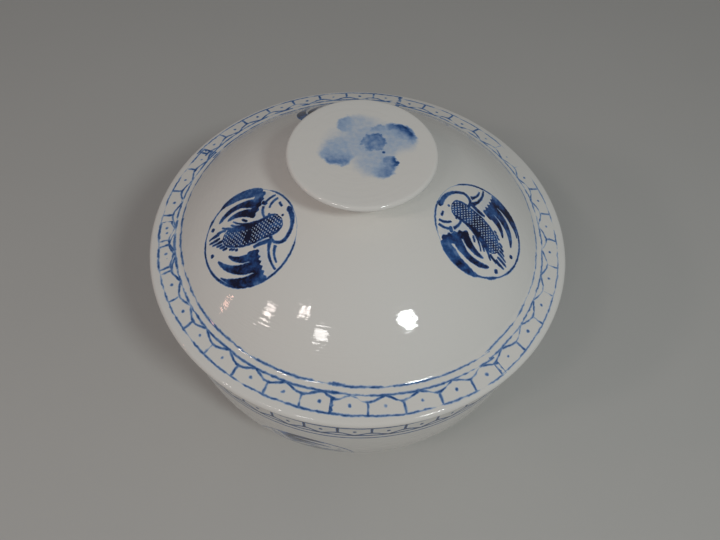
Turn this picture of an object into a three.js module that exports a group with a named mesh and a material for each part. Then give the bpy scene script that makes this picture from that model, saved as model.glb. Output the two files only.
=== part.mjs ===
// Covered bowl of glazed porcelain: a deep bowl on a foot ring, and a domed lid with a sloping brim,
// a locating flange underneath and a flat disc knob on top. Millimetres, +Z up, the foot stands on Z = 0.
import * as THREE from 'three';

// Bowl
const mouthRadius = 102; // outer radius at the rim
const bowlHeight = 105.4; // foot underside to the top of the rim
const bowlWall = 4.8;
const wallTaper = 3; // degrees the straight upper wall leans in on its way down
const bellyHeight = 85; // where the straight wall starts to round in
const bellyRound = 0.68; // fullness of the belly's curve, 0 a straight cone and 1 a square corner

// Foot ring, luted under the bowl
const footRadius = 56; // outer radius against the bowl
const footWidth = 7;
const footHeight = 8;
const footTaper = 1.2; // how far each side draws in at the standing edge
const footEdge = 1; // round of the standing edge
const baseLedge = 1; // flat of the bowl's base that shows round the foot

// Lid
const seatGap = 0.3; // glaze to glaze play between the bowl's rim and the lid's seat
const lidOverhang = 3; // how far the lip stands out past the bowl's rim
const lipThickness = 4.6;
const brimWidth = 15.6; // lip's edge to the crease at the foot of the dome
const brimSlope = 14; // degrees the brim falls towards the lip
const creaseFillet = 5;
const domeRise = 35.6; // crease to the dome's crown, before the knob's seat is turned flat
const lidWall = 5;

// Flange, luted under the lid's seat, drops into the bowl's mouth
const flangePlay = 2; // radial play inside the bowl's mouth
const flangeWidth = 4.7;
const flangeDrop = 8;
const flangeEdge = 1.8;

// Knob, luted on the dome's crown
const knobRadius = 33.6;
const knobHeight = 16.9;
const knobThickness = 4.4; // of the disc at its edge
const knobEdge = 0.9; // round of the disc's upper and lower edges
const neckRadius = 17; // where the neck stands on the dome
const neckWaist = 5; // how far the neck's curve is drawn in on its way up
const neckPull = 0.75; // how high that draw reaches, as a share of the neck

// Facets
const turns = 60; // sides of every turned piece
const longCurveSteps = 12;
const edgeSteps = 3; // steps in a quarter round

const radians = THREE.MathUtils.degToRad;
const point = (radius, height) => new THREE.Vector2(radius, height);

// Points along an arc, angles in radians from the outward direction towards +Z
function arcPoints(centre, radius, from, to, steps) {
  return Array.from({ length: steps + 1 }, (_, i) => {
    const angle = from + ((to - from) * i) / steps;
    return point(centre.x + radius * Math.cos(angle), centre.y + radius * Math.sin(angle));
  });
}

// A crown of the given chord radius and rise: the radius of its sphere
const sphereRadius = (chord, rise) => (chord * chord + rise * rise) / (2 * rise);

// A piece turned from a half section of (radius, height) points
function turned(name, section, material) {
  const geometry = new THREE.LatheGeometry(section, turns);
  geometry.rotateX(Math.PI / 2);
  const mesh = new THREE.Mesh(geometry, material);
  mesh.name = name;
  return mesh;
}

function glazedPorcelain() {
  return new THREE.MeshStandardMaterial({ color: '#ddd6d1', roughness: 0.12, metalness: 0 });
}

function barePorcelain() {
  return new THREE.MeshStandardMaterial({ color: '#d9cfc2', roughness: 0.6, metalness: 0 });
}

// Heights and radii shared by pieces that meet
const baseRadius = footRadius + baseLedge;
const seatHeight = bowlHeight + seatGap;
const lidRadius = mouthRadius + lidOverhang;
const flangeOuter = mouthRadius - bowlWall - flangePlay;
const flangeInner = flangeOuter - flangeWidth;

function makeBowl() {
  const lean = radians(wallTaper);
  const rimRound = bowlWall / 2;
  const rimCentre = point(mouthRadius - rimRound, bowlHeight - rimRound);
  const rim = arcPoints(rimCentre, rimRound, -lean, Math.PI - lean, 2 * edgeSteps);
  const wallTop = rim[0];
  const bellyTop = point(wallTop.x - (wallTop.y - bellyHeight) * Math.tan(lean), bellyHeight);
  const pullDown = bellyRound * (bellyHeight - footHeight);
  const belly = new THREE.CubicBezierCurve(
    point(baseRadius, footHeight),
    point(baseRadius + bellyRound * (bellyTop.x - baseRadius), footHeight),
    point(bellyTop.x - pullDown * Math.tan(lean), bellyHeight - pullDown),
    bellyTop,
  );
  const outside = [];
  const inside = [];
  for (let i = 0; i <= longCurveSteps; i++) {
    const share = i / longCurveSteps;
    const onOutside = belly.getPoint(share);
    const along = belly.getTangent(share);
    outside.push(onOutside);
    // The curve runs outwards and up, so the wall's inside lies to its left
    inside.unshift(point(onOutside.x - along.y * bowlWall, onOutside.y + along.x * bowlWall));
  }
  const floorHeight = footHeight + bowlWall;
  const section = [point(0, footHeight), ...outside, ...rim, ...inside, point(0, floorHeight)];
  return turned('bowl', section, glazedPorcelain());
}

function makeFootRing() {
  const inner = footRadius - footWidth;
  const section = [
    point(footRadius, footHeight),
    point(inner, footHeight),
    point(inner + footTaper, footEdge),
    point(inner + footTaper + footEdge, 0),
    point(footRadius - footTaper - footEdge, 0),
    point(footRadius - footTaper, footEdge),
    point(footRadius, footHeight),
  ];
  return turned('foot_ring', section, barePorcelain());
}

// The lid's outside: lip, brim, crease and dome, and the flat turned on the crown for the knob
const lipRound = lipThickness / 2;
const lipCentre = point(lidRadius - lipRound, seatHeight + lipRound);
const slope = radians(brimSlope);
const brimEdge = point(lipCentre.x + lipRound * Math.sin(slope), lipCentre.y + lipRound * Math.cos(slope));
const creaseRadius = lidRadius - brimWidth;
const creaseHeight = brimEdge.y + (brimEdge.x - creaseRadius) * Math.tan(slope);
const domeRadius = sphereRadius(creaseRadius, domeRise);
const domeCentre = point(0, creaseHeight + domeRise - domeRadius);
const knobSeat = domeCentre.y + Math.sqrt(domeRadius * domeRadius - neckRadius * neckRadius);

function makeLid() {
  // The fillet's centre stands off both the dome and the brim by its radius
  const brimUp = point(Math.sin(slope), Math.cos(slope));
  const standOff = brimEdge.dot(brimUp) + creaseFillet - domeCentre.dot(brimUp);
  const fromCrown = slope + Math.acos(standOff / (domeRadius + creaseFillet));
  const filletCentre = point(
    (domeRadius + creaseFillet) * Math.sin(fromCrown),
    domeCentre.y + (domeRadius + creaseFillet) * Math.cos(fromCrown),
  );
  const upright = Math.PI / 2;
  const crownEnd = Math.acos(neckRadius / domeRadius);
  const dome = arcPoints(domeCentre, domeRadius, crownEnd, upright - fromCrown, longCurveSteps);
  const filletFrom = upright - fromCrown + Math.PI;
  const filletTo = upright - slope + Math.PI;
  const fillet = arcPoints(filletCentre, creaseFillet, filletFrom, filletTo, edgeSteps).slice(1);
  const lip = [
    ...arcPoints(lipCentre, lipRound, upright - slope, 0, edgeSteps),
    ...arcPoints(lipCentre, lipRound, 0, -upright, edgeSteps).slice(1),
  ];

  // Inside, the hollow springs from the flange and leaves the wall's thickness at the crown
  const hollowTop = creaseHeight + domeRise - lidWall;
  const hollowRadius = sphereRadius(flangeInner, hollowTop - seatHeight);
  const hollowCentre = point(0, hollowTop - hollowRadius);
  const hollowFrom = Math.acos(flangeInner / hollowRadius);
  const hollow = arcPoints(hollowCentre, hollowRadius, hollowFrom, upright, longCurveSteps).slice(0, -1);
  const section = [point(0, knobSeat), ...dome, ...fillet, ...lip, ...hollow, point(0, hollowTop)];
  return turned('lid', section.reverse(), glazedPorcelain());
}

function makeFlange() {
  const bottom = seatHeight - flangeDrop;
  const outerEdge = point(flangeOuter - flangeEdge, bottom + flangeEdge);
  const innerEdge = point(flangeInner + flangeEdge, bottom + flangeEdge);
  const section = [
    point(flangeInner, seatHeight),
    ...arcPoints(innerEdge, flangeEdge, Math.PI, 1.5 * Math.PI, edgeSteps),
    ...arcPoints(outerEdge, flangeEdge, -Math.PI / 2, 0, edgeSteps),
    point(flangeOuter, seatHeight),
    point(flangeInner, seatHeight),
  ];
  return turned('lid_flange', section, glazedPorcelain());
}

function makeKnob() {
  const edgeRadius = knobRadius - knobEdge;
  const under = knobHeight - knobThickness;
  const neck = new THREE.CubicBezierCurve(
    point(neckRadius, 0),
    point(neckRadius - neckWaist, neckPull * under),
    point(neckRadius, under),
    point(edgeRadius, under),
  );
  const edge = [
    ...arcPoints(point(edgeRadius, under + knobEdge), knobEdge, -Math.PI / 2, 0, edgeSteps).slice(1),
    ...arcPoints(point(edgeRadius, knobHeight - knobEdge), knobEdge, 0, Math.PI / 2, edgeSteps),
  ];
  const section = [point(0, 0), ...neck.getPoints(longCurveSteps), ...edge, point(0, knobHeight)];
  const knob = turned('knob', section, glazedPorcelain());
  knob.position.z = knobSeat;
  return knob;
}

const bowlGroup = new THREE.Group();
bowlGroup.add(makeBowl(), makeFootRing());

const lidGroup = new THREE.Group();
lidGroup.add(makeLid(), makeFlange(), makeKnob());

const coveredBowl = new THREE.Group();
coveredBowl.add(bowlGroup, lidGroup);

export default coveredBowl;
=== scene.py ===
import math

import bpy
from mathutils import Matrix, Vector, noise


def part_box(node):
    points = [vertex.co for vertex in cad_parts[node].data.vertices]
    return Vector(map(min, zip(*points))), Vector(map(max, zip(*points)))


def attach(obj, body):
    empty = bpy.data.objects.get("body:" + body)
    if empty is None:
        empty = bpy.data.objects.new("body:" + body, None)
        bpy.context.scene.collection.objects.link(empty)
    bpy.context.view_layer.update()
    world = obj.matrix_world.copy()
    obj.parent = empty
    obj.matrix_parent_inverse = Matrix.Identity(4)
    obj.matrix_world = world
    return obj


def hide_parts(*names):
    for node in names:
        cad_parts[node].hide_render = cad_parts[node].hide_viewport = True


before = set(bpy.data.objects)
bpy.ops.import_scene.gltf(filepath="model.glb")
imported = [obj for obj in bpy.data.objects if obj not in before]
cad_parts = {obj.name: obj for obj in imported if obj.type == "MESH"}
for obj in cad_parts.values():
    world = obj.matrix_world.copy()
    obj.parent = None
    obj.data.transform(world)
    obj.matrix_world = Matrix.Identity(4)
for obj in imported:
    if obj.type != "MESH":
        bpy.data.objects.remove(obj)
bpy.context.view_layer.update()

# A covered bowl of blue and white porcelain, thrown, painted with cobalt and glazed.
# Shapes are drawn in millimetres and handed to Blender in metres.
mm = 0.001
print("frame loaded:", ", ".join(sorted(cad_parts)))


def linear(hexColour):
    channels = [int(hexColour[i:i + 2], 16) / 255 for i in (1, 3, 5)]
    curve = [c / 12.92 if c <= 0.04045 else ((c + 0.055) / 1.055) ** 2.4 for c in channels]
    return (*curve, 1.0)


# A size in mm as a noise scale, which counts per metre
def per(size):
    return 1 / (size * mm)


# A noise node takes its scale and then its octaves. Nearly all of its values lie between these
calmNoise = (0.4, 0.6)  # with one octave
busyNoise = (0.3, 0.7)  # with two or three

# A colour mix's own sockets among those of its node
mixShare, mixFrom, mixTo, mixOut = 0, 6, 7, 2


# Adds a node of a kind, which its operation may follow, and sets or links its inputs, in order or by name
def put(tree, kind, *inputs, out=0, named=None, **settings):
    kind, *operation = kind.split()
    node = tree.nodes.new("ShaderNode" + kind)
    if operation:
        node.operation = operation[0]
    for name, value in settings.items():
        setattr(node, name, value)
    for key, value in [*enumerate(inputs), *(named or {}).items()]:
        if isinstance(value, bpy.types.NodeSocket):
            tree.links.new(value, node.inputs[key])
        elif value is not None:
            node.inputs[key].default_value = value
    return node.outputs[out] if node.outputs else None


def addObject(name, data):
    added = bpy.data.objects.new(name, data)
    bpy.context.scene.collection.objects.link(added)
    return added


def newMaterial(name):
    material = bpy.data.materials.new(name)
    material.use_nodes = True
    material.node_tree.nodes.clear()
    return material, material.node_tree


# Sets a float curve through evenly spaced values from 0 to 1, and to another at both ends if one is given
def shapeCurve(socket, values, beyond=None):
    mapping = socket.node.mapping
    mapping.use_clip = False
    points = [(i / (len(values) - 1), v) for i, v in enumerate(values)]
    if beyond is not None:
        inset = 0.012  # share of the curve that the step at each end takes
        points = [(inset + x * (1 - 2 * inset), v) for x, v in points]
        points = [(0, beyond), *points, (1, beyond)]
    curve = mapping.curves[0]
    while len(curve.points) < len(points):
        curve.points.new(0.5, 0)
    for spot, place in zip(curve.points, points):
        spot.location = place
        spot.handle_type = "AUTO_CLAMPED"
    mapping.update()
    return socket


# Camera, fitted to the lip, the border lines and the knob in the photograph
cameraPlan = {
    "place": (-1.341, -189.775, 352.393),  # mm
    "turn": 0.01483,  # radians, as the next two
    "tilt": 0.97880,
    "roll": 0.047398,
    "focalPixels": 600,
    "imageWidth": 720,
    "filmWidth": 36,  # mm
    "nearest": 10,  # mm, nothing closer is drawn
}


def makeCamera(plan):
    turn, tilt, roll = plan["turn"], plan["tilt"], plan["roll"]
    ahead = Vector((math.sin(turn) * math.cos(tilt), math.cos(turn) * math.cos(tilt), -math.sin(tilt)))
    level = Vector((math.cos(turn), -math.sin(turn), 0))
    above = level.cross(ahead)
    right = level * math.cos(roll) + above * math.sin(roll)
    up = above * math.cos(roll) - level * math.sin(roll)
    lens = bpy.data.cameras.new("camera")
    lens.sensor_width = plan["filmWidth"]
    lens.lens = plan["focalPixels"] / plan["imageWidth"] * plan["filmWidth"]
    lens.clip_start = plan["nearest"] * mm
    camera = addObject("camera", lens)
    camera.matrix_world = Matrix((right, up, -ahead)).transposed().to_4x4()
    camera.location = Vector(plan["place"]) * mm
    bpy.context.scene.camera = camera


makeCamera(cameraPlan)
print("camera set")


# A colour that drifts between a plan's two tints, in patches
def patchyColour(tree, place, plan, octaves):
    first, second = plan["tints"]
    share = put(tree, "TexNoise", place, None, per(plan["patch"]), octaves)
    return put(tree, "Mix", data_type="RGBA", out=mixOut,
               named={mixShare: share, mixFrom: linear(first), mixTo: linear(second)})


# Glazed porcelain: a fine white body under a clear glaze that was dipped and fired.
# The eye sees a grey-white ground with sharp glints, which the uneven glaze breaks up.
glazePlan = {
    "tints": ("#EAEAE7", "#ECE7E1"),
    "patch": 70,  # mm, the slow drift of the body's tint
    "roughness": 0.045,
    "ior": 1.5,
    "ripple": 4,  # mm across, the glaze's shallow waves
    "rippleDepth": 0.08,
    "ring": 1.1,  # mm across, the rings that turning left under the glaze
    "ringDepth": 0.075,
    "ringDrift": 0.12,  # how soon a ring changes on its way round, as a share of its width
    "ringPatch": 35,  # mm, patches where the rings lie deeper
    "ringShallow": 0.5,  # share of that depth between the patches
    "speck": 9,  # mm between the cells that may hold an iron speck
    "speckChance": 0.16,  # share of the cells that do
    "speckSize": 0.28,  # mm, its radius
    "speckCore": 0.4,  # share of the radius that is full
    "speckColour": "#6B5A48",
}

# Cobalt under the glaze, from bare body through thin wash to the thickest line
cobaltTints = [
    (0.00, "#FFFFFF"),
    (0.20, "#BCD5F8"),
    (0.45, "#769DD8"),
    (0.68, "#2F63AB"),
    (0.84, "#1C3F80"),
    (1.00, "#030E3A"),
]


# The glaze's shader over a body that carries this much cobalt, 0 none and 1 the most
def glaze(tree, cobalt=None):
    plan = glazePlan
    place = put(tree, "TexCoord", out="Object")
    colour = patchyColour(tree, place, plan, 2.0)
    cell = put(tree, "TexVoronoi", place, None, per(plan["speck"]))
    dice = put(tree, "SeparateXYZ", cell.node.outputs["Color"])
    chance = put(tree, "Math LESS_THAN", dice, plan["speckChance"])
    reach = plan["speckSize"] / plan["speck"]
    near = put(tree, "MapRange", cell, reach, plan["speckCore"] * reach)
    speck = put(tree, "Math MULTIPLY", near, chance)
    colour = put(tree, "Mix", data_type="RGBA", out=mixOut,
                 named={mixShare: speck, mixFrom: colour, mixTo: linear(plan["speckColour"])})
    if cobalt:
        tint = put(tree, "ValToRGB", cobalt)
        ramp = tint.node.color_ramp
        while len(ramp.elements) < len(cobaltTints):
            ramp.elements.new(0.5)
        for stop, (share, hexColour) in zip(ramp.elements, cobaltTints):
            stop.position = share
            stop.color = linear(hexColour)
        colour = put(tree, "Mix", data_type="RGBA", blend_type="MULTIPLY", out=mixOut,
                     named={mixShare: 1.0, mixFrom: colour, mixTo: tint})
    ripple = put(tree, "TexNoise", place, None, per(plan["ripple"]), 1.0)
    flat = put(tree, "VectorMath MULTIPLY", place, (1, 1, 0))
    radius = put(tree, "VectorMath LENGTH", flat, out="Value")
    section = put(tree, "CombineXYZ", radius, 0.0, put(tree, "SeparateXYZ", place, out="Z"))
    section = put(tree, "VectorMath MULTIPLY_ADD", place, [plan["ringDrift"]] * 3, section)
    ring = put(tree, "TexNoise", section, None, per(plan["ring"]), 1.0)
    deep = put(tree, "TexNoise", place, None, per(plan["ringPatch"]), 1.0)
    deep = put(tree, "MapRange", deep, *calmNoise, plan["ringShallow"], 1.0)
    ring = put(tree, "Math MULTIPLY", ring, deep)
    steep = plan["ringDepth"] / plan["rippleDepth"]
    height = put(tree, "Math MULTIPLY_ADD", ring, steep, ripple)
    bump = put(tree, "Bump", 1.0, plan["rippleDepth"] * mm, named={"Height": height})
    shader = put(tree, "BsdfPrincipled", named={
        "Base Color": colour,
        "Roughness": plan["roughness"],
        "IOR": plan["ior"],
        "Normal": bump,
    })
    put(tree, "OutputMaterial", shader)


def makeGlazedPorcelain():
    material, tree = newMaterial("glazedPorcelain")
    glaze(tree)
    return material


# A point's angle round the middle, in radians, and its distance from there
def polar(tree, place):
    across = put(tree, "SeparateXYZ", place)
    angle = put(tree, "Math ARCTAN2", across.node.outputs["Y"], across)
    return angle, put(tree, "VectorMath LENGTH", place, out="Value")


# The distance to the edge of a line at this level, given half its width; below 0 inside
def lineEdge(tree, height, level, half):
    off = put(tree, "Math SUBTRACT", height, level)
    off = put(tree, "Math ABSOLUTE", off)
    return put(tree, "Math SUBTRACT", off, half)


# The distance to the nearest of several edges, which draws their shapes together
def nearest(tree, *edges):
    least = edges[0]
    for edge in edges[1:]:
        least = put(tree, "Math MINIMUM", least, edge)
    return least


flattest = 0.02  # mm, the bow that a straight stroke gets
noStroke = -2  # mm, a half width that draws nothing


# A brushed arc from start to end, with its bow to the left of the way it runs and its widths at even steps.
# The result is the distance in mm to its edge, below 0 inside.
def brushArc(tree, place, start, end, bow, widths):
    start, end = Vector(start), Vector(end)
    chord = end - start
    side = Vector((-chord.y, chord.x)).normalized() * math.copysign(1, bow)
    rise = max(abs(bow), flattest)
    radius = (chord.length ** 2 / 4 + rise ** 2) / (2 * rise)
    centre = (start + end) / 2 + side * (rise - radius)
    spread = 4 * math.atan(2 * rise / chord.length)
    turn = math.atan2(side.y, side.x)
    turned = put(tree, "Mapping", place, (*centre, 0), (0, 0, turn), vector_type="TEXTURE")
    angle, reach = polar(tree, turned)
    along = put(tree, "Math MULTIPLY_ADD", angle, -math.copysign(1 / spread, bow), 0.5)
    half = shapeCurve(put(tree, "FloatCurve", None, along), [w / 2 for w in widths], beyond=noStroke)
    return lineEdge(tree, reach, radius, half)


# Moves a drawing's points a little to and fro, as a hand or a worn stencil does
def shaken(tree, place, size, reach):
    ground = put(tree, "TexCoord", out="Object")
    sway = put(tree, "TexNoise", ground, None, per(size), 2.0, out="Color")
    sway = put(tree, "VectorMath SUBTRACT", sway, (0.5, 0.5, 0.5))  # the noise's middle
    return put(tree, "VectorMath MULTIPLY_ADD", sway, (2 * reach, 2 * reach, 0), place)


# Cobalt printed through a paper stencil: a crane in a ring, wings spread, its neck curled under.
# The ink is near black where it lay thick and mid blue where it ran thin, with soft edges.
craneStencil = {
    "ringRadius": 23.9,
    # the ring line's widths at even steps from the right, round by the top
    "ringWidths": [2.6, 2.0, 0.5, 1.2, 0.2, 0.6, 0.8, 0.7, 0.8, 0.9, 1.0, 1.0, 1.2, 1.0, 0.7, 0.7, 0.7,
                   0.7, 0.7, 0.6, 0.3, -0.4, -0.4, -0.3, 0.3, 0.5, 0.5, 0.3, -0.3, 1.2, 2.4, 2.6, 2.6],
    "shake": 0.34,  # mm that the edges waver, and how far on they waver again
    "shakeSize": 1.4,
    "edge": 0.36,  # mm to each side over which a line's edge fades
    "spread": 0.12,  # mm that the ink crept past the stencil's edge
    # the net's two sets of lines: mm between them and the degrees that they run at
    "net": [(1.2, 130), (1.5, 18)],
    "netInk": 0.02,  # the wave's height below which it is a line
    "outline": 0.7,
    # fine mottle and broad blotches, mm across, and the mottle's weight beside them
    "mottle": 1.3,
    "blotch": 5,
    "mottleShare": 0.6,
    "uneven": (0.58, 1.0),  # their sum where the ink is thinnest and thickest
    "ink": (0.62, 1.0),
    # where the ink ran thin and where it pooled: a spot and how far it reaches
    "thinSpots": [((-24.0, 5.0), 7.0), ((19.0, -11.5), 8.5)],
    "thickSpots": [((-18.5, 11.0), 10.0), ((-1.5, -1.0), 6.0), ((12.5, -6.5), 7.0), ((7.4, -1.5), 7.0)],
    "thinGain": 0.78,
    "thickGain": 1.18,
    "spotCore": 0.3,  # share of a spot's reach that is full
    "washInk": 0.05,
    "washEdge": 0.8,  # mm to each side over which a wash fades
    "bodyInk": 0.16,  # what bled into the net's openings
    "bodyEdge": 1.2,  # mm in from the body's edge where that is full
    "patchGone": 9,  # mm that takes the body's blot away from the prints on the right
}
# each stroke's start and end in mm from the ring's middle, its bow and its widths
craneStrokes = {
    "leftOuterFeather": ((-21.0, 2.4), (-8.8, 20.8), 3.1, [5.4, 5.3, 4.8, 4.3, 3.8, 2.8, 1.4, 0.3]),
    "leftMiddleFeather": ((-15.4, 2.4), (-1.0, 18.3), 3.4, [4.6, 5.0, 4.5, 3.7, 2.9, 2.0, 0.4]),
    "leftInnerFeather": ((-10.4, -0.4), (-2.6, 12.4), 2.7, [2.8, 3.4, 3.3, 2.7, 1.9, 0.4]),
    "leftWingRoot": ((-24.0, 3.7), (-8.4, 0.9), 0.8,
                     [2.6, 4.6, 3.4, 5.0, 3.4, 5.4, 3.6, 5.8, 3.8, 6.0, 4.2, 5.8, 4.0]),
    "leftEdge": ((-22.8, -3.7), (-9.6, -8.0), 1.7, [0.6, 0.9, 1.0, 1.0, 1.3, 1.9]),
    "leftEdgeSecond": ((-20.4, -5.6), (-13.0, -9.2), 0.9, [0.4, 0.8, 1.0, 1.6]),
    "leftBar": ((-7.4, 0.2), (-9.8, -8.4), 0.5, [1.0, 1.7, 1.8, 2.0]),
    "neckBend": ((-6.2, -10.2), (-13.0, -14.4), -3.3, [1.2, 1.3, 1.3, 1.4]),
    "neck": ((-13.0, -14.2), (-1.0, -22.3), -2.3, [1.4, 1.3, 1.4, 1.7, 2.0, 1.8]),
    "head": ((-2.6, -22.4), (1.0, -22.5), 0.0, [1.0, 2.2, 2.4, 1.8, 0.4]),
    "bill": ((2.6, -20.1), (5.8, -20.1), 0.0, [0.3, 0.9, 1.0, 0.4]),
    "eye": ((-2.4, -18.5), (-1.0, -18.5), 0.0, [0.2, 1.0, 0.2]),
    "rightOuterFeather": ((16.6, -15.6), (22.8, 3.4), -1.8, [2.6, 4.4, 5.2, 4.6, 3.6, 3.0, 2.2, 0.8]),
    "rightMiddleFeather": ((12.6, -9.8), (15.9, 10.2), -3.5, [4.4, 4.2, 3.0, 2.7, 2.6, 2.1, 0.4]),
    "rightInnerFeather": ((8.6, -6.6), (13.9, 5.8), -1.7, [3.6, 3.8, 3.2, 2.6, 1.9, 0.4]),
    "rightWingRoot": ((6.6, -5.2), (17.4, -14.6), -0.6,
                      [1.0, 3.0, 2.4, 4.4, 3.2, 5.0, 3.8, 5.6, 4.4, 5.8, 4.4]),
    "cloudLine": ((2.0, -10.9), (8.6, -13.0), 0.8, [0.9, 1.0, 1.1, 1.2]),
    "cloudTail": ((9.4, -13.8), (10.3, -20.2), 0.7, [1.4, 1.0, 1.0, 0.8]),
    "cloudSecond": ((5.6, -14.8), (8.0, -20.6), 0.9, [0.5, 0.9, 1.1, 1.0]),
    "cloudMark": ((8.4, -14.8), (11.2, -13.0), 0.0, [0.3, 1.7, 1.8, 0.6]),
    "cloudStub": ((1.6, -13.4), (3.4, -13.2), 0.0, [1.2, 1.0, 0.4]),
    "sideStrokeUpper": ((8.0, 4.6), (12.8, 9.6), 0.3, [1.0, 1.2, 1.0, 0.3]),
    "sideStrokeLower": ((6.6, 1.4), (10.8, 5.0), 0.3, [1.2, 1.0, 0.9, 0.3]),
    "shoulderEdge": ((3.8, -4.6), (11.6, 3.4), 0.8, [0.7, 0.8, 0.7, 0.6, 0.3]),
    "shoulderMark": ((6.4, -3.1), (9.4, -1.1), 0.2, [0.3, 1.0, 0.9, 0.3]),
    "tailLink": ((9.8, 8.2), (11.4, 13.0), -0.4, [1.2, 1.2, 1.6]),
    "dotTop": ((2.2, 19.8), (4.4, 19.8), 0.0, [0.2, 1.6, 1.8, 1.4, 0.2]),
    "dotRight": ((14.4, 14.3), (16.7, 14.1), 0.0, [0.2, 1.6, 2.0, 1.4, 0.2]),
    "dotEdge": ((19.4, 13.0), (21.0, 13.0), 0.0, [0.2, 1.3, 1.3, 0.2]),
    "tail1": ((-3.4, 6.8), (-2.6, 8.4), 0.0, [0.6, 1.1, 0.3]),
    "tail2": ((-2.1, 8.1), (-1.2, 10.0), 0.0, [0.5, 0.9, 0.3]),
    "tail3": ((-1.0, 9.1), (-0.3, 11.0), 0.0, [0.5, 0.9, 0.3]),
    "tail4": ((1.3, 11.0), (2.2, 13.8), 0.1, [0.8, 1.1, 0.3]),
    "tail5": ((2.9, 11.8), (4.1, 15.0), 0.1, [0.7, 1.1, 0.3]),
    "tail6": ((4.6, 12.4), (5.9, 16.1), 0.1, [0.6, 1.0, 0.3]),
    "tail7": ((6.2, 11.4), (8.1, 17.9), 0.2, [1.0, 1.2, 0.9, 0.3]),
    "tail8": ((8.6, 12.4), (10.1, 18.9), 0.2, [0.7, 1.2, 1.1, 0.3]),
    "tail9": ((10.7, 12.0), (11.9, 18.2), -0.2, [1.4, 1.5, 1.0, 0.3]),
}
craneBody = {
    "whole": ((7.8, 11.0), (-2.8, -17.6), -3.1,
              [2.8, 8.8, 10.4, 11.0, 11.3, 11.1, 10.6, 10.3, 10.6, 9.6, 2.4]),
    "shade": ((10.8, 9.0), (1.8, -14.6), -2.0, [0.8, 2.4, 3.2, 3.4, 4.4, 3.0, 2.0, 1.4, 0.8]),
    "patch": ((-3.6, 1.8), (1.6, -2.8), 0.4, [0.4, 2.6, 3.2, 2.4, 0.4]),
}
# thin washes along the upper edges of the wings
craneWash = {
    "leftBand": ((-23.6, -0.6), (-9.4, -2.4), 0.5, [3.0, 3.8, 4.0, 4.0, 3.6]),
    "rightBand": ((3.6, -7.2), (15.4, -16.4), -0.6, [3.4, 4.8, 5.2, 5.2, 4.6]),
}


def makeCraneTransfer():
    plan = craneStencil
    material, tree = newMaterial("cobaltCraneUnderGlaze")
    place = shaken(tree, put(tree, "UVMap", uv_map="print"), plan["shakeSize"], plan["shake"])

    # the ring, its width read off round the circle, and the strokes
    angle, reach = polar(tree, place)
    round01 = put(tree, "Math MULTIPLY", angle, 1 / (2 * math.pi))
    round01 = put(tree, "Math WRAP", round01, 1.0, 0.0)
    half = shapeCurve(put(tree, "FloatCurve", None, round01), [w / 2 for w in plan["ringWidths"]])
    ring = lineEdge(tree, reach, plan["ringRadius"], half)
    drawn = nearest(tree, ring, *[brushArc(tree, place, *stroke) for stroke in craneStrokes.values()])

    # the body: netted, with a dark outline, a shaded side and, left of the piece's middle, a dark patch
    whole = brushArc(tree, place, *craneBody["whole"])
    waves = []
    for pitch, turn in plan["net"]:
        turn = math.radians(turn + 90)
        step = Vector((math.cos(turn), math.sin(turn), 0)) * 2 * math.pi / pitch
        wave = put(tree, "VectorMath DOT_PRODUCT", place, step, out="Value")
        waves.append(put(tree, "Math COSINE", wave))
    mesh = put(tree, "Math SUBTRACT", nearest(tree, *waves), plan["netInk"])
    outline = put(tree, "Math MULTIPLY_ADD", whole, -1.0, -plan["outline"])
    shade = brushArc(tree, place, *craneBody["shade"])
    ground = put(tree, "TexCoord", out="Object")
    onRight = put(tree, "Math GREATER_THAN", put(tree, "SeparateXYZ", ground), 0.0)
    patch = brushArc(tree, place, *craneBody["patch"])
    patch = put(tree, "Math MULTIPLY_ADD", onRight, plan["patchGone"], patch)
    inked = nearest(tree, mesh, outline, shade, patch)
    inked = put(tree, "Math MAXIMUM", inked, whole)
    clear = put(tree, "Math MULTIPLY", whole, -1.0)
    drawn = put(tree, "Math MAXIMUM", drawn, clear)
    drawn = nearest(tree, drawn, inked)

    cover = put(tree, "MapRange", drawn, plan["spread"] + plan["edge"], plan["spread"] - plan["edge"],
                interpolation_type="SMOOTHSTEP")
    mottle = put(tree, "TexNoise", ground, None, per(plan["mottle"]), 3.0)
    blotch = put(tree, "TexNoise", ground, None, per(plan["blotch"]), 1.0)
    thick = put(tree, "Math MULTIPLY_ADD", mottle, plan["mottleShare"], blotch)
    thick = put(tree, "MapRange", thick, *plan["uneven"], *plan["ink"])
    for spots, gain in (("thinSpots", plan["thinGain"]), ("thickSpots", plan["thickGain"])):
        for spot, reach in plan[spots]:
            away = put(tree, "VectorMath DISTANCE", place, (*spot, 0), out="Value")
            gained = put(tree, "MapRange", away, plan["spotCore"] * reach, reach, gain, 1.0,
                         interpolation_type="SMOOTHSTEP")
            thick = put(tree, "Math MULTIPLY", thick, gained)
    ink = put(tree, "Math MULTIPLY", cover, thick)
    washed = nearest(tree, *[brushArc(tree, place, *stroke) for stroke in craneWash.values()])
    washed = put(tree, "MapRange", washed, plan["washEdge"], -plan["washEdge"])
    washed = put(tree, "Math MULTIPLY", washed, mottle)
    washed = put(tree, "Math MULTIPLY", washed, 2 * plan["washInk"])
    ink = put(tree, "Math MAXIMUM", ink, washed)
    bled = put(tree, "MapRange", whole, 0.0, -plan["bodyEdge"], 0.0, plan["bodyInk"])
    glaze(tree, put(tree, "Math MAXIMUM", ink, bled))
    return material


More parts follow.
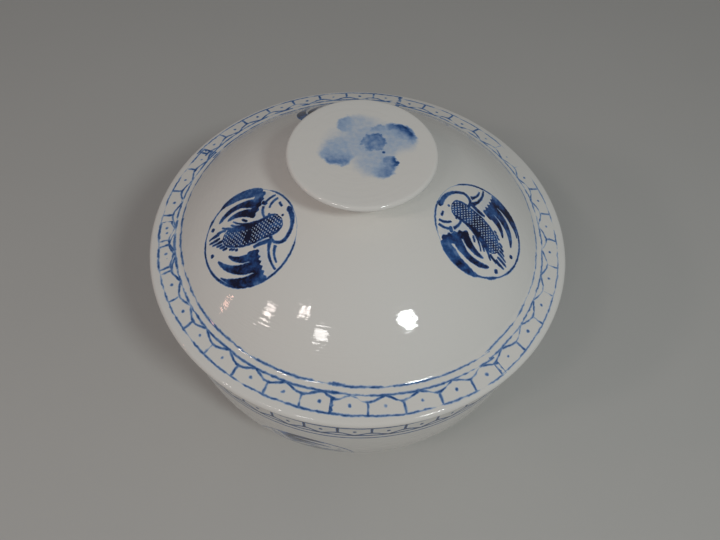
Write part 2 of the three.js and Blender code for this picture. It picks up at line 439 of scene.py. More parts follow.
# Cobalt printed in strips: hexagon cells between lines, each cell with a dot, joined where the strips meet.
# The thin lines blur and break in the glaze and pool darker where they cross.
borderStencil = {
    "pitch": 15.7,  # mm, one cell
    "outerLine": 0.0,  # mm in from the outer line
    "dot": 4.15,
    "junction": 5.4,
    "secondLine": 8.6,
    "innerLine": 11.85,
    "widths": {"outerLine": 0.9, "secondLine": 1.0, "innerLine": 0.85, "wall": 1.2},
    "dotSize": 1.6,
    # the arms' lower side from a wall's junction up to the peak at mid cell
    "arms": [4.9, 5.4, 5.95, 6.6, 7.3, 7.95],
    # their upper side, round the white half lens under the second line
    "lens": [6.4, 6.5, 7.0, 7.8, 8.5, 8.7],
    "layers": ("print", "overprint"),
    # mm that the lines wander and shake, and how far on they do so again
    "sway": 0.6,
    "swaySize": 12,
    "shake": 0.42,
    "shakeSize": 2.0,
    "edge": 0.42,
    "breaks": 7,  # mm across, the worn stretches
    "breakNoise": (0.5, 0.72),  # the noise's values from sound to most worn
    "wear": 0.58,  # mm off a line's half width where it is most worn
    "fade": 0.5,  # share of the ink that is left there
    # where the print's outer part hardly took: a place, and how far that is full and how far it reaches
    "wornSpots": [((103.2, 57.2), 21, 26)],
    "leftGain": 0.1,  # mm that a line is thicker on the left of the piece, and thinner on the right
    "sideLoss": 0.13,  # mm that a line is thinner on both sides than at the front
    "sideReach": 100,  # mm out from the middle where those two are full
    "seamGain": 0.14,  # mm that a line is thicker where a strip starts
    "seamReach": (0.04, 0.2),  # cells from there over which that ends
    "blot": 0.9,  # mm, half the width of the smudge on a strip's first wall
    "blotShake": 1.5,  # mm that its edge wavers, and how far on it wavers again
    "blotSize": 1.5,
    "mottle": 2.4,
    "ink": (0.45, 0.78),  # where the mottle is thin and where it is thick
}
# the same strips on the bowl's wall, sharper and darker
bowlBorderStencil = {
    **borderStencil,
    "layers": ("print",),
    "sway": 0.2,
    "shake": 0.22,
    "edge": 0.38,
    "wear": 0.1,
    "fade": 1.0,
    "wornSpots": [],
    "leftGain": 0,
    "sideLoss": 0,
    "seamGain": 0,
    "blot": -3,  # too thin to show
    "ink": (0.84, 1.0),
}


# The distance in mm to the edge of what one strip prints
def stripEdge(tree, plan, layer):
    printed = put(tree, "UVMap", uv_map=layer)
    inMm = put(tree, "VectorMath MULTIPLY", printed, (plan["pitch"], 1, 0))
    swayed = shaken(tree, inMm, plan["swaySize"], plan["sway"])
    place = put(tree, "SeparateXYZ", shaken(tree, swayed, plan["shakeSize"], plan["shake"]))
    height = place.node.outputs["Y"]
    cell = put(tree, "Math MULTIPLY", place, 1 / plan["pitch"])
    share = put(tree, "Math PINGPONG", cell, 0.5)

    lines = [lineEdge(tree, height, plan[line], plan["widths"][line] / 2)
             for line in ("outerLine", "secondLine", "innerLine")]

    # the walls between the cells
    wall = put(tree, "Math MULTIPLY_ADD", share, plan["pitch"], -plan["widths"]["wall"] / 2)
    above = put(tree, "Math SUBTRACT", height, plan["junction"])
    below = put(tree, "Math MULTIPLY", height, -1.0)
    beyond = put(tree, "Math MAXIMUM", above, below)
    wall = put(tree, "Math MAXIMUM", wall, beyond)

    # the smudge on the strip's first wall
    smear = put(tree, "TexNoise", put(tree, "TexCoord", out="Object"), None, per(plan["blotSize"]), 2.0)
    smear = put(tree, "Math MULTIPLY_ADD", smear, 2 * plan["blotShake"], -plan["blotShake"] - plan["blot"])
    blot = put(tree, "Math ABSOLUTE", place)
    blot = put(tree, "Math ADD", blot, smear)
    blot = put(tree, "Math MAXIMUM", blot, beyond)

    # the filled wedge between the arms and the lens
    share01 = put(tree, "Math MULTIPLY", share, 2.0)
    arms = shapeCurve(put(tree, "FloatCurve", None, share01), plan["arms"])
    lens = shapeCurve(put(tree, "FloatCurve", None, share01), plan["lens"])
    under = put(tree, "Math SUBTRACT", arms, height)
    over = put(tree, "Math SUBTRACT", height, lens)
    wedge = put(tree, "Math MAXIMUM", under, over)

    # the dot at mid cell
    fromMiddle = put(tree, "Math MULTIPLY_ADD", share, -plan["pitch"], plan["pitch"] / 2)
    fromDot = put(tree, "Math SUBTRACT", height, plan["dot"])
    dot = put(tree, "CombineXYZ", fromMiddle, fromDot)
    dot = put(tree, "VectorMath LENGTH", dot, out="Value")
    dot = put(tree, "Math SUBTRACT", dot, plan["dotSize"] / 2)
    return nearest(tree, *lines, wall, blot, wedge, dot)


def makeBorderTransfer(name, plan):
    material, tree = newMaterial(name)
    drawn = nearest(tree, *[stripEdge(tree, plan, layer) for layer in plan["layers"]])

    # worn and broken stretches, thicker ones where a strip starts, then uneven ink
    ground = put(tree, "TexCoord", out="Object")
    worn = put(tree, "TexNoise", ground, None, per(plan["breaks"]), 2.0)
    worn = put(tree, "MapRange", worn, *plan["breakNoise"])
    level = put(tree, "VectorMath MULTIPLY", ground, (1, 1, 0))
    for spot, full, reach in plan["wornSpots"]:
        away = put(tree, "VectorMath DISTANCE", level, Vector((*spot, 0)) * mm, out="Value")
        bald = put(tree, "MapRange", away, reach * mm, full * mm)
        worn = put(tree, "Math MAXIMUM", worn, bald)
    drawn = put(tree, "Math MULTIPLY_ADD", worn, plan["wear"], drawn)
    fromSeam = put(tree, "SeparateXYZ", put(tree, "UVMap", uv_map="print"))
    fromSeam = put(tree, "Math ABSOLUTE", fromSeam)
    seam = put(tree, "MapRange", fromSeam, *plan["seamReach"], plan["seamGain"], 0.0)
    drawn = put(tree, "Math SUBTRACT", drawn, seam)
    across = put(tree, "SeparateXYZ", ground)
    side = plan["sideReach"] * mm
    drawn = put(tree, "Math MULTIPLY_ADD", across, plan["leftGain"] / side, drawn)
    aside = put(tree, "Math ABSOLUTE", across)
    drawn = put(tree, "Math MULTIPLY_ADD", aside, plan["sideLoss"] / side, drawn)
    cover = put(tree, "MapRange", drawn, plan["edge"], -plan["edge"], interpolation_type="SMOOTHSTEP")
    mottle = put(tree, "TexNoise", ground, None, per(plan["mottle"]), 2.0)
    thick = put(tree, "MapRange", mottle, *busyNoise, *plan["ink"])
    faded = put(tree, "MapRange", worn, 0.0, 1.0, 1.0, plan["fade"])
    thick = put(tree, "Math MULTIPLY", thick, faded)
    glaze(tree, put(tree, "Math MULTIPLY", cover, thick))
    return material


# Cobalt wash laid with a wet brush: a five-petalled flower, pale where the water ran and dark where it dried.
flowerPlan = {
    # centre and half sizes in mm, degrees that it is turned and degrees towards its dark end,
    # and the ink at its pale and its dark end
    "petals": {
        "wash": ((-0.5, 4.4), (20.0, 15.6), 10, 0, 0.16, 0.16),
        "topLeft": ((-1.0, 15.0), (11.6, 8.0), 5, 175, 0.13, 0.33),
        "topRight": ((8.2, 9.8), (6.8, 6.4), 0, 110, 0.17, 0.34),
        "right": ((14.9, 6.6), (10.4, 11.4), 25, 58, 0.17, 0.90),
        "left": ((-10.2, 0.4), (10.0, 11.8), 0, 262, 0.19, 0.50),
        "bottom": ((4.2, -8.0), (11.6, 9.6), -20, -25, 0.16, 0.50),
        "bottomEdge": ((11.4, -7.2), (4.6, 4.8), 0, -5, 0.36, 0.86),
    },
    "heart": ((4.7, 4.1), (6.7, 6.2), 20, 60, 0.40, 0.58),  # one stroke, given in the same way
    "dot": ((9.3, -1.8), 0.75, 0.72),  # place, radius and ink
    # mm that the edges waver, and how far on they waver again: the petals, the heart and the finest fray
    "shake": 2.0,
    "shakeSize": 4.5,
    "heartShake": 2.2,
    "heartShakeSize": 2.6,
    "fray": 0.8,
    "fraySize": 1.5,
    # shares of a stroke's half size over which its pale end and its dark end run out
    "petalEnds": (0.8, 0.2),
    "heartEnds": (0.3, 0.2),
    # places along a stroke, -1 to 1, between its two ways of running out and between its two inks
    "endsSpan": (-0.4, 0.7),
    "inkSpan": (0.1, 1.0),
    "dotEdge": (1.5, 0.5),  # the dot's radii where it starts and where it is full
    "streak": 2.2,  # mm, where the wash dried unevenly, and how much thinner and thicker it is there
    "streakInk": (0.72, 1.18),
}


def makeFlowerWash():
    plan = flowerPlan
    material, tree = newMaterial("cobaltFlowerUnderGlaze")
    printed = put(tree, "UVMap", uv_map="print")
    frayed = shaken(tree, printed, plan["fraySize"], plan["fray"])
    place = shaken(tree, frayed, plan["shakeSize"], plan["shake"])
    strokes = [(place, plan["petalEnds"], stroke) for stroke in plan["petals"].values()]
    heartPlace = shaken(tree, frayed, plan["heartShakeSize"], plan["heartShake"])
    strokes.append((heartPlace, plan["heartEnds"], plan["heart"]))
    washed = None
    for spot, runOut, (centre, halfSizes, turn, darkTurn, pale, dark) in strokes:
        local = put(tree, "Mapping", spot, (*centre, 0), (0, 0, math.radians(turn)), (*halfSizes, 1),
                    vector_type="TEXTURE")
        way = math.radians(darkTurn - turn)
        darkWay = (math.cos(way), math.sin(way), 0)
        along = put(tree, "VectorMath DOT_PRODUCT", local, darkWay, out="Value")
        reach = put(tree, "VectorMath LENGTH", local, out="Value")
        inside = put(tree, "Math SUBTRACT", 1.0, reach)
        fade = put(tree, "MapRange", along, *plan["endsSpan"], *runOut)
        cover = put(tree, "MapRange", put(tree, "Math DIVIDE", inside, fade),
                    interpolation_type="SMOOTHSTEP")
        ends = put(tree, "MapRange", along, *plan["inkSpan"], pale, dark, interpolation_type="SMOOTHSTEP")
        ink = put(tree, "Math MULTIPLY", cover, ends)
        washed = put(tree, "Math MAXIMUM", washed, ink) if washed else ink
    ground = put(tree, "TexCoord", out="Object")
    streak = put(tree, "TexNoise", ground, None, per(plan["streak"]), 3.0)
    streak = put(tree, "MapRange", streak, *busyNoise, *plan["streakInk"])
    washed = put(tree, "Math MULTIPLY", washed, streak)
    spot, radius, ink = plan["dot"]
    away = put(tree, "VectorMath DISTANCE", printed, (*spot, 0), out="Value")
    outer, core = plan["dotEdge"]
    dot = put(tree, "MapRange", away, outer * radius, core * radius, 0.0, ink)
    glaze(tree, put(tree, "Math MAXIMUM", washed, dot))
    return material


# Bare porcelain: the foot's standing edge, wiped clean of glaze before firing and left dry and faintly sandy
footPlan = {
    "tints": ("#CDBFAE", "#B08F6C"),
    "patch": 14,  # mm, where the body flashed warm in the kiln
    "grit": 0.6,  # mm
    "gritDepth": 0.03,
    "roughness": 0.62,
}


def makeBarePorcelain():
    plan = footPlan
    material, tree = newMaterial("bareFiredPorcelain")
    place = put(tree, "TexCoord", out="Object")
    colour = patchyColour(tree, place, plan, 3.0)
    grit = put(tree, "TexNoise", place, None, per(plan["grit"]), 2.0)
    bump = put(tree, "Bump", 1.0, plan["gritDepth"] * mm, named={"Height": grit})
    shader = put(tree, "BsdfPrincipled", named={
        "Base Color": colour,
        "Roughness": plan["roughness"],
        "Normal": bump,
    })
    put(tree, "OutputMaterial", shader)
    return material


glazedPorcelain = makeGlazedPorcelain()
craneTransfer = makeCraneTransfer()
borderTransfer = makeBorderTransfer("cobaltLidBorderUnderGlaze", borderStencil)
bowlBorderTransfer = makeBorderTransfer("cobaltBowlBorderUnderGlaze", bowlBorderStencil)
flowerWash = makeFlowerWash()
barePorcelain = makeBarePorcelain()
print("materials:", len(bpy.data.materials), "with", len(craneTransfer.node_tree.nodes), "nodes in the crane")


# Points along an arc in the half section, angles in radians from outwards towards up
def arc(centre, radius, start, end, steps):
    angles = [start + (end - start) * i / steps for i in range(steps + 1)]
    return [(centre[0] + radius * math.cos(a), centre[1] + radius * math.sin(a)) for a in angles]


def straight(start, end, steps):
    return [(start[0] + (end[0] - start[0]) * i / steps, start[1] + (end[1] - start[1]) * i / steps)
            for i in range(steps + 1)]


# Points along a cubic curve, given by its two ends and the two pulls between them
def bezier(start, firstPull, lastPull, end, steps):
    points = []
    for i in range(steps + 1):
        t = i / steps
        weights = ((1 - t) ** 3, 3 * (1 - t) ** 2 * t, 3 * (1 - t) * t ** 2, t ** 3)
        corners = list(zip(weights, (start, firstPull, lastPull, end)))
        points.append(tuple(sum(w * corner[k] for w, corner in corners) for k in (0, 1)))
    return points


samePlace = 1e-6  # mm, closer points are one


# Drops points that repeat their neighbour
def joined(*stretches):
    section = []
    for point in (p for stretch in stretches for p in stretch):
        if not section or math.dist(point, section[-1]) > samePlace:
            section.append(point)
    return section


# The half section of a ring under its seat: in along the seat, down the inner wall, round both lower edges
# and up the outer wall, with a fillet of slip where a wall meets the seat
def ringSection(plan, size):
    top, steps = size["top"], plan["steps"]
    outer, inner = size["radius"], size["radius"] - plan["width"]
    taper, edge, fillet, innerFillet = (plan[k] for k in ("taper", "edge", "fillet", "innerFillet"))
    edgeHeight = size["low"] + edge
    return joined(
        straight((outer + fillet, top), (inner - innerFillet, top), steps["top"]),
        arc((inner - innerFillet, top - innerFillet), innerFillet, math.pi / 2, 0, steps["fillet"]),
        straight((inner, top - innerFillet), (inner + taper, edgeHeight), steps["inner"]),
        arc((inner + taper + edge, edgeHeight), edge, math.pi, 1.5 * math.pi, steps["edge"]),
        arc((outer - taper - edge, edgeHeight), edge, 1.5 * math.pi, 2 * math.pi, steps["edge"]),
        straight((outer - taper, edgeHeight), (outer, top - fillet), steps["outer"]),
        arc((outer + fillet, top - fillet), fillet, math.pi, math.pi / 2, steps["fillet"]),
    )[:-1]


# A piece turned from its half section, which runs out, up and back with the piece on its left
def turnPiece(name, section, turns, materials, closed=False):
    vertices = []
    rings = []
    for radius, height in section:
        count = turns if radius > samePlace else 1
        rings.append([len(vertices) + i for i in range(count)])
        for i in range(count):
            angle = 2 * math.pi * i / turns
            vertices.append((radius * math.cos(angle) * mm, radius * math.sin(angle) * mm, height * mm))
    faces = []
    pairs = list(zip(rings, rings[1:]))
    if closed:
        pairs.append((rings[-1], rings[0]))
    for low, high in pairs:
        for i in range(turns):
            j = (i + 1) % turns
            corners = [low[i % len(low)], low[j % len(low)], high[j % len(high)], high[i % len(high)]]
            faces.append(list(dict.fromkeys(corners)))
    mesh = bpy.data.meshes.new(name)
    mesh.from_pydata(vertices, [], faces)
    mesh.polygons.foreach_set("use_smooth", [True] * len(mesh.polygons))
    for material in materials:
        mesh.materials.append(material)
    return addObject(name, mesh)


# Presses shallow hollows into a piece, as a thrower's hands leave them; nothing is raised
def pressHollows(piece, depth, size):
    mesh = piece.data
    normals = [vertex.normal.copy() for vertex in mesh.vertices]
    for vertex, normal in zip(mesh.vertices, normals):
        hollow = 0.5 + 0.5 * noise.noise(vertex.co / (size * mm))
        vertex.co -= normal * hollow * depth * mm
    mesh.update()


nowhere = (0, -99)  # a place that no print reaches


# Lays prints on a piece's faces: each print has a material slot, a test that gives a face its key,
# and a place on the print, in the print's own units, for a point and that key
def layPrints(piece, prints, layerName="print"):
    mesh = piece.data
    layer = mesh.uv_layers.new(name=layerName)
    for corner in layer.uv:
        corner.vector = nowhere
    for face in mesh.polygons:
        middle = face.center / mm
        for slot, covers, locate in prints:
            key = covers(middle, face.normal)
            if key is None:
                continue
            face.material_index = slot
            for corner in face.loop_indices:
                point = mesh.vertices[mesh.loops[corner].vertex_index].co / mm
                layer.uv[corner].vector = locate(point, key)
            break


def azimuth(point):
    return math.degrees(math.atan2(point.y, point.x))


# The angle from one azimuth to another, between -180 and 180
def apart(angle, start):
    return (angle - start + 180) % 360 - 180


# A round print: its middle, and its right, outward and facing directions
def roundelFrame(turn, radius, height, slant, twist):
    turn = math.radians(turn)
    outwards = Vector((math.cos(turn), math.sin(turn), 0))
    sideways = Vector((math.sin(turn), -math.cos(turn), 0))
    downhill = outwards * math.cos(slant) - Vector((0, 0, math.sin(slant)))
    share, rest = math.cos(math.radians(twist)), math.sin(math.radians(twist))
    return {
        "middle": outwards * radius + Vector((0, 0, height)),
        "across": sideways * share - downhill * rest,
        "along": sideways * rest + downhill * share,
        "facing": sideways.cross(downhill),
    }


printReach = 27  # mm from a roundel's middle to the edge of its print
printFacing = 0.3  # least cosine between a face and the print that it takes


def roundelAt(point, facing, roundels):
    for roundel in roundels:
        near = (point - roundel["middle"]).length < printReach
        if near and facing.dot(roundel["facing"]) > printFacing:
            return roundel
    return None


def onRoundel(point, roundel):
    offset = point - roundel["middle"]
    return offset.dot(roundel["across"]), offset.dot(roundel["along"])


def sizeOf(node):
    low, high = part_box(node)
    return {"radius": high.x / mm, "low": low.z / mm, "top": high.z / mm}


def finishPiece(piece, body, node):
    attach(piece, body)
    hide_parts(node)
    print("made", piece.name, "with", len(piece.data.polygons), "faces")


# Bowl
bowlPlan = {
    "wall": 4.8,
    "lean": 3,  # degrees
    "bellyHeight": 85,
    "bellyRound": 0.68,
    "baseLedge": 1,
    "turns": 240,
    "steps": {"base": 6, "belly": 56, "wall": 10, "rim": 16, "floor": 8},  # faces along the section
    "handDepth": 0.14,  # mm, the hollows that the thrower's hands left
    "handSize": 34,  # mm across
    "borderTop": 97.4,
    "borderFoot": 83.2,
    "borderSpare": 4,  # mm that the print may stray past these two
    "borderCells": 42,
    "borderStart": 266.3,  # degrees to the strip's first wall
    "roundelTurns": (256, 16, 136),  # degrees round
    "roundelHeight": 47,
    "roundelTwist": 233,  # degrees from the lid's cranes
}


def makeBowl(plan):
    size = sizeOf("bowl")
    steps = plan["steps"]
    lean = math.radians(plan["lean"])
    rimRound = plan["wall"] / 2
    rimMiddle = (size["radius"] - rimRound, size["top"] - rimRound)
    rim = arc(rimMiddle, rimRound, -lean, math.pi - lean, steps["rim"])
    wallTop = rim[0]
    bellyTop = (wallTop[0] - (wallTop[1] - plan["bellyHeight"]) * math.tan(lean), plan["bellyHeight"])
    baseRadius = sizeOf("foot_ring")["radius"] + plan["baseLedge"]
    pull = plan["bellyRound"] * (plan["bellyHeight"] - size["low"])
    belly = bezier(
        (baseRadius, size["low"]),
        (baseRadius + plan["bellyRound"] * (bellyTop[0] - baseRadius), size["low"]),
        (bellyTop[0] - pull * math.tan(lean), plan["bellyHeight"] - pull),
        bellyTop, steps["belly"])
    outside = joined(belly, straight(bellyTop, wallTop, steps["wall"]))
    inside = []
    for before, point, after in zip([outside[0], *outside], outside, [*outside[1:], outside[-1]]):
        way = Vector((after[0] - before[0], after[1] - before[1])).normalized()
        inside.insert(0, (point[0] - way.y * plan["wall"], point[1] + way.x * plan["wall"]))
    base = straight((0, size["low"]), outside[0], steps["base"])
    floor = straight(inside[-1], (0, size["low"] + plan["wall"]), steps["floor"])
    bowl = turnPiece("porcelain_bowl", joined(base, outside, rim, inside, floor), plan["turns"],
                     [glazedPorcelain, bowlBorderTransfer, craneTransfer])
    pressHollows(bowl, plan["handDepth"], plan["handSize"])

    # the print's middle sits on the belly, facing as the wall does there
    step = next(i for i, p in enumerate(outside) if p[1] > plan["roundelHeight"])
    low, high = outside[step - 1], outside[step]
    slant = math.atan2(high[1] - low[1], low[0] - high[0])
    roundels = [roundelFrame(turn, low[0], plan["roundelHeight"], slant, plan["roundelTwist"])
                for turn in plan["roundelTurns"]]
    stencilTall = borderStencil["innerLine"] / (plan["borderTop"] - plan["borderFoot"])

    # a face on the wall's outside is keyed by the degrees from the strip's start to its middle
    def borderAt(point, facing):
        outwards = facing.x * point.x + facing.y * point.y
        spare = plan["borderSpare"]
        if outwards < 0 or not plan["borderFoot"] - spare < point.z < plan["borderTop"] + spare:
            return None
        return apart(azimuth(point), plan["borderStart"])

    def onBorder(point, key):
        turned = key + apart(azimuth(point) - plan["borderStart"], key)
        return turned / 360 * plan["borderCells"], (plan["borderTop"] - point.z) * stencilTall

    layPrints(bowl, [
        (1, borderAt, onBorder),
        (2, lambda point, facing: roundelAt(point, facing, roundels), onRoundel),
    ])
    finishPiece(bowl, "bowl", "bowl")


makeBowl(bowlPlan)


# Foot ring
footRingPlan = {
    "width": 7,
    "taper": 1.2,
    "edge": 1,
    "fillet": 2,
    "innerFillet": 2,
    "bareHeight": 1.7,
    "turns": 240,
    "steps": {"top": 6, "fillet": 6, "inner": 8, "edge": 5, "outer": 8},
}


def makeFootRing(plan):
    section = ringSection(plan, sizeOf("foot_ring"))
    ring = turnPiece("foot_ring_turned", section, plan["turns"], [glazedPorcelain, barePorcelain],
                     closed=True)
    for face in ring.data.polygons:
        face.material_index = int(face.center.z < plan["bareHeight"] * mm)
    finishPiece(ring, "bowl", "foot_ring")


makeFootRing(footRingPlan)


# Lid
lidPlan = {
    "lip": 4.6,
    "brimWidth": 15.6,
    "brimSlope": 14,  # degrees
    "creaseFillet": 6,
    "domeRise": 35.6,
    "wall": 5,
    "turns": 240,
    "steps": {"hollow": 44, "seat": 4, "lip": 8, "brim": 10, "crease": 8, "dome": 56, "crown": 4},
    "handDepth": 0.16,
    "handSize": 30,
    "outerLine": 100.85,  # radius
    "borderSpare": (3, 3.4),  # mm that the print may stray in past the crease and out past that line
    "stripLead": 20,  # degrees before a strip's start that are still measured from it
    # the printed strips: where each starts, its cell's width and how far the strip before it
    # runs on under it, all in degrees, and the mm that it lies further out at its start and its end
    "strips": [
        (77.2, 9.33, 1.5, 1.2, 1.0),
        (150, 9.7, 3, -0.4, -0.5),
        (181.2, 9.43, 19, -0.9, -0.4),
        (264.4, 9.2, 1.0, -0.6, 2.1),
        (309, 9.55, 2, 1.6, -0.7),
        (356.5, 10.25, 1.2, -0.9, -0.6),
    ],
    # degrees round and mm out from the middle of the lid, and degrees that the crane is turned
    "roundels": [(208.6, 57.4, 0), (-17.75, 59.1, 0), (100.4, 63.6, -25)],
}
lidSize = sizeOf("lid")
brimSlope = math.radians(lidPlan["brimSlope"])
lipRound = lidPlan["lip"] / 2
lipMiddle = (lidSize["radius"] - lipRound, lidSize["low"] + lipRound)
brimEdge = (lipMiddle[0] + lipRound * math.sin(brimSlope), lipMiddle[1] + lipRound * math.cos(brimSlope))
creaseRadius = lidSize["radius"] - lidPlan["brimWidth"]
creaseHeight = brimEdge[1] + (brimEdge[0] - creaseRadius) * math.tan(brimSlope)
domeRadius = (creaseRadius ** 2 + lidPlan["domeRise"] ** 2) / (2 * lidPlan["domeRise"])
domeMiddle = creaseHeight + lidPlan["domeRise"] - domeRadius


def domeHeight(radius):
    return domeMiddle + math.sqrt(domeRadius ** 2 - radius ** 2)


def makeLid(plan):
    upright = math.pi / 2
    steps = plan["steps"]
    fillet = plan["creaseFillet"]
    brimUp = (math.sin(brimSlope), math.cos(brimSlope))
    standOff = brimEdge[0] * brimUp[0] + brimEdge[1] * brimUp[1] + fillet - domeMiddle * brimUp[1]
    reach = domeRadius + fillet
    fromCrown = brimSlope + math.acos(standOff / reach)
    filletMiddle = (reach * math.sin(fromCrown), domeMiddle + reach * math.cos(fromCrown))
    neck = math.sqrt(domeRadius ** 2 - (lidSize["top"] - domeMiddle) ** 2)
    crownEnd = math.acos(neck / domeRadius)
    dome = arc((0, domeMiddle), domeRadius, upright - fromCrown, crownEnd, steps["dome"])
    crease = arc(filletMiddle, fillet, 3 * upright - brimSlope, 3 * upright - fromCrown, steps["crease"])
    flange = sizeOf("lid_flange")["radius"] - flangePlan["width"]
    hollowTop = creaseHeight + plan["domeRise"] - plan["wall"]
    hollowRise = hollowTop - lidSize["low"]
    hollowRadius = (flange ** 2 + hollowRise ** 2) / (2 * hollowRise)
    hollowEnd = math.acos(flange / hollowRadius)
    hollow = arc((0, hollowTop - hollowRadius), hollowRadius, upright, hollowEnd, steps["hollow"])
    section = joined(
        [(0, hollowTop), *hollow[1:]],
        straight((flange, lidSize["low"]), (lipMiddle[0], lidSize["low"]), steps["seat"]),
        arc(lipMiddle, lipRound, -upright, 0, steps["lip"]),
        arc(lipMiddle, lipRound, 0, upright - brimSlope, steps["lip"]),
        straight(brimEdge, crease[0], steps["brim"]),
        crease,
        dome,
        straight(dome[-1], (0, lidSize["top"]), steps["crown"]),
    )
    lid = turnPiece("porcelain_lid", section, plan["turns"], [glazedPorcelain, borderTransfer, craneTransfer])
    pressHollows(lid, plan["handDepth"], plan["handSize"])
    roundels = [roundelFrame(turn, radius, domeHeight(radius), math.asin(radius / domeRadius), twist)
                for turn, radius, twist in plan["roundels"]]

    def onBrim(point, facing):
        inwards, outwards = plan["borderSpare"]
        radius = math.hypot(point.x, point.y)
        return facing.z > 0 and creaseRadius - inwards < radius < plan["outerLine"] + outwards

    def stripAt(point, facing):
        if onBrim(point, facing):
            return min(plan["strips"], key=lambda strip: (azimuth(point) - strip[0]) % 360)
        return None

    # the strip before this one, where it runs on
    def stripUnder(point, facing):
        strip = stripAt(point, facing)
        if strip and (azimuth(point) - strip[0]) % 360 < strip[2]:
            return plan["strips"][plan["strips"].index(strip) - 1]
        return None

    starts = [strip[0] for strip in plan["strips"]]
    lengths = {start: (end - start) % 360 for start, end in zip(starts, starts[1:] + starts[:1])}

    def onStrip(point, strip):
        start, cellWidth, _, shiftStart, shiftEnd = strip
        along = (azimuth(point) - start + plan["stripLead"]) % 360 - plan["stripLead"]
        outerLine = plan["outerLine"] + shiftStart + (shiftEnd - shiftStart) * along / lengths[start]
        return along / cellWidth, (outerLine - math.hypot(point.x, point.y)) / math.cos(brimSlope)

    layPrints(lid, [
        (1, stripAt, onStrip),
        (2, lambda point, facing: roundelAt(point, facing, roundels), onRoundel),
    ])
    layPrints(lid, [(1, stripUnder, onStrip)], "overprint")
    finishPiece(lid, "lid", "lid")


# Flange under the lid
flangePlan = {
    "width": 4.7,
    "taper": 0,
    "edge": 1.8,
    "fillet": 1.4,
    "innerFillet": 0,
    "turns": 240,
    "steps": {"top": 3, "fillet": 5, "inner": 5, "edge": 6, "outer": 4},
}


def makeFlange(plan):
    section = ringSection(plan, sizeOf("lid_flange"))
    ring = turnPiece("lid_flange_turned", section, plan["turns"], [glazedPorcelain], closed=True)
    finishPiece(ring, "lid", "lid_flange")


makeLid(lidPlan)
makeFlange(flangePlan)


# Knob
knobPlan = {
    "thickness": 4.4,  # mm, the disc at its edge
    "edge": 1.8,
    "lowerEdge": 1.4,
    "lean": 0.8,  # how far the disc's wall draws in on its way down
    "neckWaist": 5,
    "neckPull": 0.75,
    "slip": 3.4,  # mm that the slip's fillet runs out over the dome
    "slipRise": 4,
    "slipPull": 0.2,  # share of that rise where the fillet starts to turn up
    "slipSunk": 0.1,  # mm that its thin end lies below the dome's skin
    "root": (1, 0.6),  # mm in from that end and down from the seat, hidden in the lid
    "crown": 0.65,  # how far the top rises towards its middle
    "topFacing": 0.5,  # least upward share of a face that takes the flower
    "turns": 180,
    "steps": {"slip": 10, "neck": 28, "edge": 8, "wall": 4, "top": 12},
    "handDepth": 0.1,
    "handSize": 22,
}


def makeKnob(plan):
    size = sizeOf("knob")
    steps = plan["steps"]
    seat = size["low"]
    neck = math.sqrt(domeRadius ** 2 - (seat - domeMiddle) ** 2)
    edge, lowerEdge = plan["edge"], plan["lowerEdge"]
    edgeRadius = size["radius"] - edge
    edgeTop = size["top"] - plan["crown"]
    lowerRadius = size["radius"] - plan["lean"] - lowerEdge
    under = size["top"] - plan["thickness"]
    waist = bezier(
        (neck, seat),
        (neck - plan["neckWaist"], seat + plan["neckPull"] * (under - seat)),
        (neck, under),
        (lowerRadius, under), steps["neck"])
    waist = [p for p in waist if p[1] > seat + plan["slipRise"]]
    slipEnd = neck + plan["slip"]
    slip = bezier(
        (slipEnd, domeHeight(slipEnd) - plan["slipSunk"]),
        (neck, domeHeight(neck) - plan["slipSunk"]),
        (waist[0][0], seat + plan["slipPull"] * plan["slipRise"]),
        waist[0], steps["slip"])
    lower = arc((lowerRadius, under + lowerEdge), lowerEdge, -math.pi / 2, 0, steps["edge"])
    upper = arc((edgeRadius, edgeTop - edge), edge, 0, math.pi / 2, steps["edge"])
    outwards = [1 - i / steps["top"] for i in range(steps["top"] + 1)]
    top = [(edgeRadius * share, size["top"] - plan["crown"] * share ** 2) for share in outwards]
    rootIn, rootDown = plan["root"]
    root = [(0, seat - rootDown), (slipEnd - rootIn, seat - rootDown)]
    section = joined(root, slip, waist, lower, straight(lower[-1], upper[0], steps["wall"]), upper, top)
    knob = turnPiece("porcelain_knob", section, plan["turns"], [glazedPorcelain, flowerWash])
    pressHollows(knob, plan["handDepth"], plan["handSize"])
    layPrints(knob, [(
        1,
        lambda point, facing: 0 if facing.z > plan["topFacing"] and point.z > edgeTop - edge else None,
        lambda point, key: (point.x, point.y),
    )])
    finishPiece(knob, "lid", "knob")


makeKnob(knobPlan)


# Floor: a sheet of pale matt card, which the eye takes as plain, with soft shadows and no shine
floorPlan = {
    "half": 3000,  # mm from its middle to its sides
    "tints": ("#CBCAC7", "#C6C5C2"),
    "patch": 180,  # mm, the slow drift between the two
    "roughness": 0.7,
}


def makeFloor(plan):
    material, tree = newMaterial("paleMattSheet")
    place = put(tree, "TexCoord", out="Object")
    colour = patchyColour(tree, place, plan, 3.0)
    put(tree, "OutputMaterial", put(tree, "BsdfPrincipled", named={
        "Base Color": colour,
        "Roughness": plan["roughness"],
    }))
    half = plan["half"] * mm
    mesh = bpy.data.meshes.new("floor")
    corners = [(-half, -half, 0), (half, -half, 0), (half, half, 0), (-half, half, 0)]
    mesh.from_pydata(corners, [], [(0, 1, 2, 3)])
    mesh.materials.append(material)
    floor = addObject("floor", mesh)


makeFloor(floorPlan)


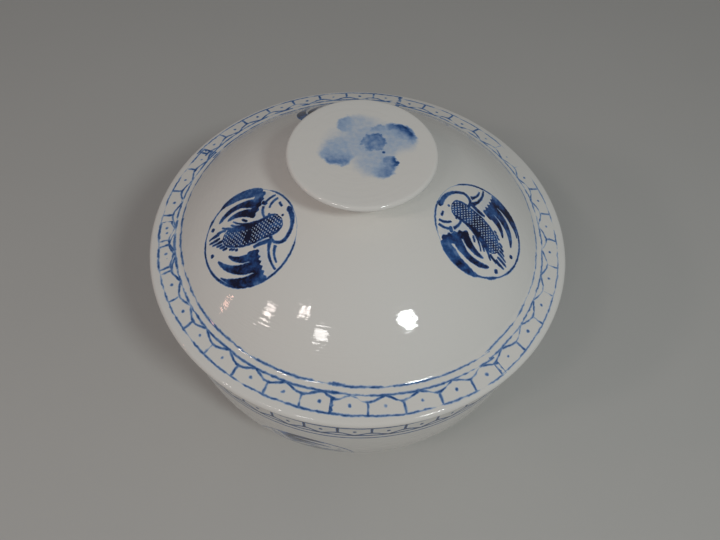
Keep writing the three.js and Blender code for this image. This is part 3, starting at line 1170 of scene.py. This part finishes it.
# Light: soft boxes where the photograph's glints say its lamps stood, and a pale room, warmer on its left
lightPlan = {
    "aim": (0, -60, 125),  # mm
    # direction from the aim, distance and width in mm, watts, tint
    "lamps": {
        "farLeft": ((-0.918, -0.165, 0.361), 951, 60, 0.12, "#FFBCA8"),
        "leftLow": ((-0.697, -0.368, 0.616), 928, 94, 0.42, "#FFF0EA"),
        "leftHigh": ((-0.435, -0.438, 0.787), 915, 82, 0.40, "#FFF2EC"),
        "front": ((-0.284, -0.623, 0.729), 913, 112, 0.45, "#FFFBF8"),
        "right": ((0.42, -0.475, 0.773), 915, 140, 2.0, "#F8FFFD"),
    },
    # the pale room: its strength and tint from everywhere, and what each wall adds to it
    "room": (0.03, "#F2F5F6"),
    "roomWalls": {
        "right": ((1, 0, 0), 0.17, "#F2F5F6"),
        "left": ((-1, 0, 0), 0.132, "#FCE9E4"),
        "front": ((0, -1, 0), 0.07, "#F2F5F6"),
        "back": ((0, 1, 0), 0.04, "#F2F5F6"),
        "above": ((0, 0, 1), 0.125, "#F2F5F6"),
    },
}


def makeLight(plan):
    aim = Vector(plan["aim"]) * mm
    for name, (direction, distance, width, watts, tint) in plan["lamps"].items():
        lamp = bpy.data.lights.new(name, "AREA")
        lamp.shape = "DISK"
        lamp.size = width * mm
        lamp.energy = watts
        lamp.color = linear(tint)[:3]
        holder = addObject(name, lamp)
        towards = Vector(direction).normalized()
        holder.location = aim + towards * distance * mm
        holder.rotation_euler = towards.to_track_quat("Z", "Y").to_euler()
    world = bpy.data.worlds.new("room")
    world.use_nodes = True
    tree = world.node_tree
    tree.nodes.clear()
    way = put(tree, "TexCoord")
    strength, tint = plan["room"]
    light = Vector(linear(tint)[:3]) * strength
    for direction, strength, tint in plan["roomWalls"].values():
        towards = put(tree, "VectorMath DOT_PRODUCT", way, direction, out="Value")
        towards = put(tree, "Math MAXIMUM", towards, 0.0)
        wall = Vector(linear(tint)[:3]) * strength
        light = put(tree, "VectorMath MULTIPLY_ADD", towards, wall, light)
    put(tree, "OutputWorld", put(tree, "Background", light, 1.0))
    bpy.context.scene.world = world
    bpy.context.scene.view_settings.view_transform = "Standard"


makeLight(lightPlan)
print("floor and light set")
